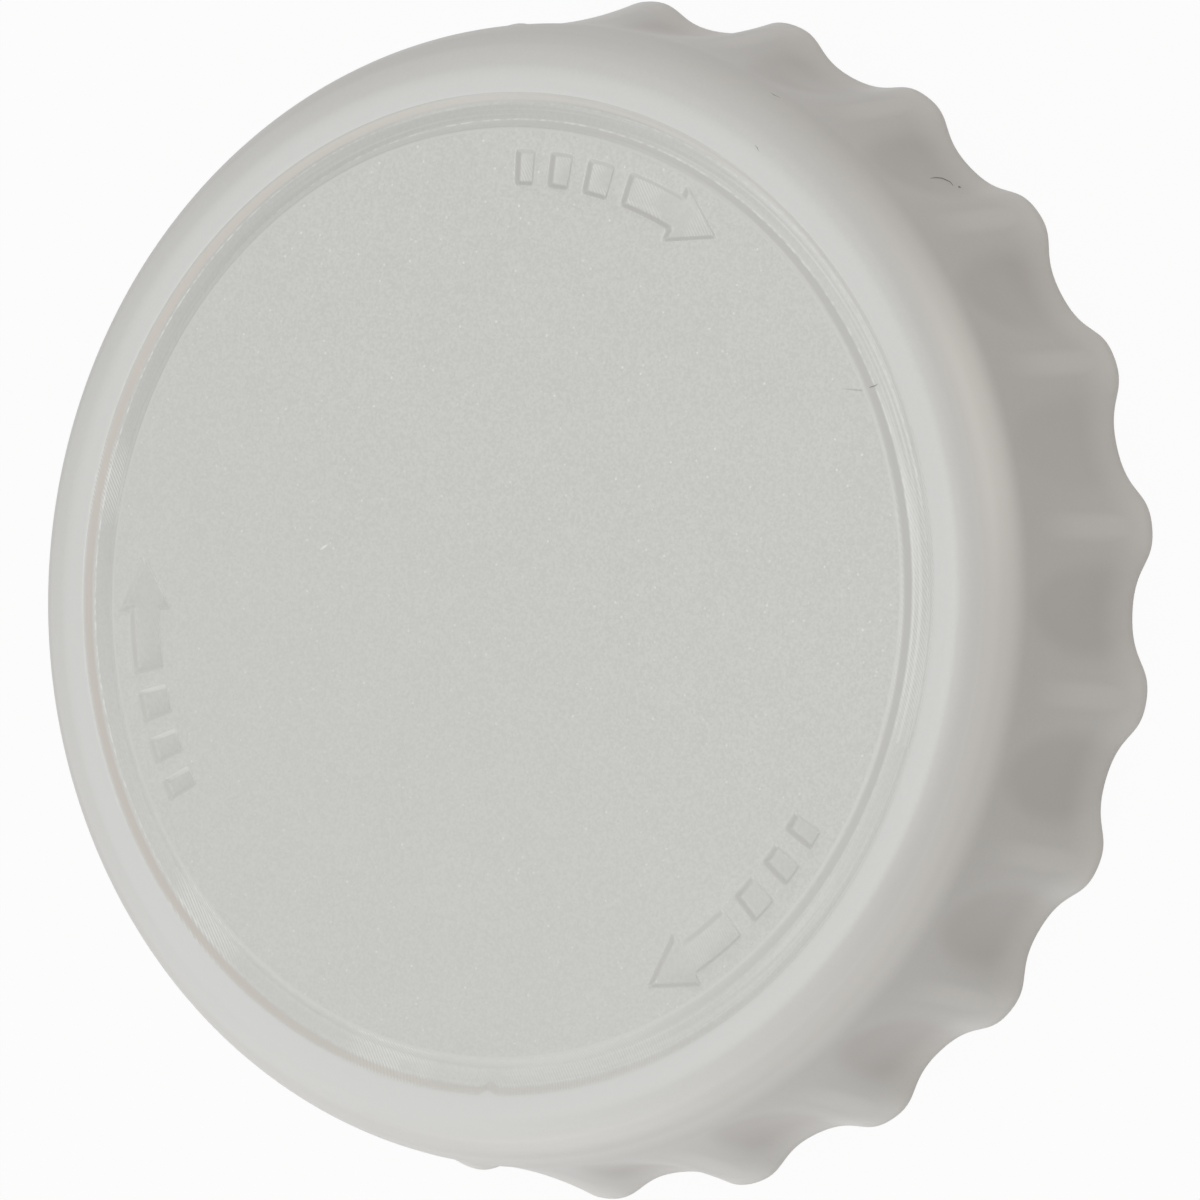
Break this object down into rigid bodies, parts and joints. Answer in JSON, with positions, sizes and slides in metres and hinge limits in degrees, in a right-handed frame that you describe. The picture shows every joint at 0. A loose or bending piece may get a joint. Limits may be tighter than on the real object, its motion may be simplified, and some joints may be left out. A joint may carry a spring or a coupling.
{
  "type": "bottle opener cap",
  "caption": "Round turn-to-use bottle opener shaped like an oversized crown cork, with a fluted skirt, a ring groove and turning arrows in its flat face.",
  "frame": {"origin": "middle of the plane of the skirt's lower edge, on the cap's axis", "axes": "+Z along the cap's axis and out of its face, +Y through one crest of the fluted skirt"},
  "size_m": [0.0636, 0.0642, 0.0134],
  "materials": {
    "body": "matte"
  },
  "bodies": {
    "root": {"opener_cap": "body"}
  },
  "joints": []
}
